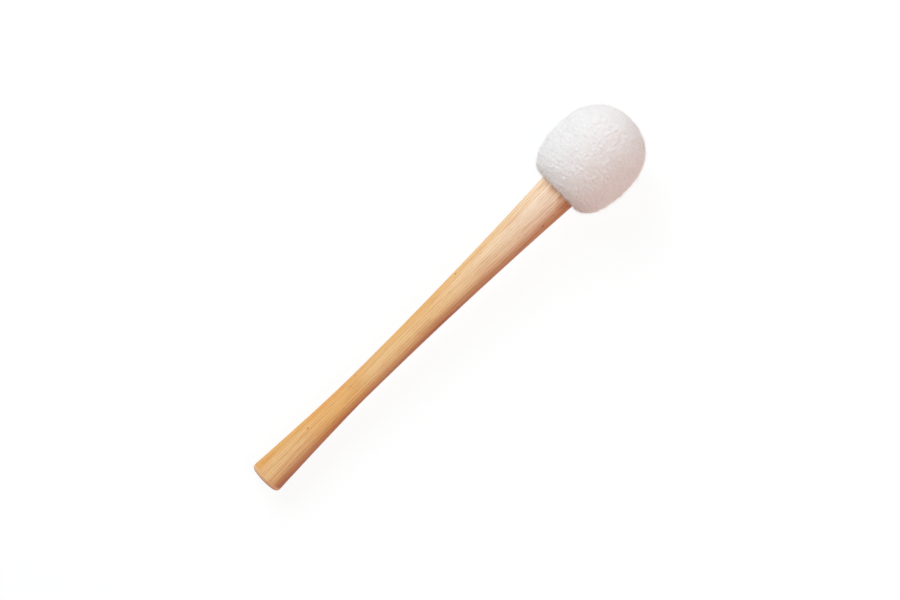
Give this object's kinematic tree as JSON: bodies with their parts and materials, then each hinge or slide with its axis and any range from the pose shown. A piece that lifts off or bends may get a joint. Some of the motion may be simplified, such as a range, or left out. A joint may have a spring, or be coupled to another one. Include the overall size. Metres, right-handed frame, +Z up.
{
  "type": "bass drum mallet",
  "caption": "Bass drum mallet: a turned hardwood handle with a narrow waist and flared ends, and a large rounded fleece-covered head.",
  "frame": {"origin": "centre of the bounding box, on the plane that the mallet rests on", "axes": "+Z up from the table; +X from the butt of the handle to the head, along the longest extent; the mallet lies on the side of its head and the edge of its butt, so its own axis rises 3.59 degrees towards the head"},
  "size_m": [0.37, 0.0672, 0.0671],
  "materials": {
    "hickory": "satin",
    "fleece": "matte",
    "waxed_thread": "matte",
    "wool_wadding": "matte",
    "hard_felt": "matte",
    "maple": "satin",
    "zinc_steel": "satin"
  },
  "bodies": {
    "root": {"handle": "hickory", "fleece_cover": "fleece", "draw_thread": "waxed_thread", "wool_padding": "wool_wadding", "side_felt_band": "hard_felt", "top_felt_disc": "hard_felt", "base_felt_ring": "hard_felt", "head_core": "maple", "retaining_washer": "zinc_steel", "retaining_screw": "zinc_steel"}
  },
  "joints": []
}
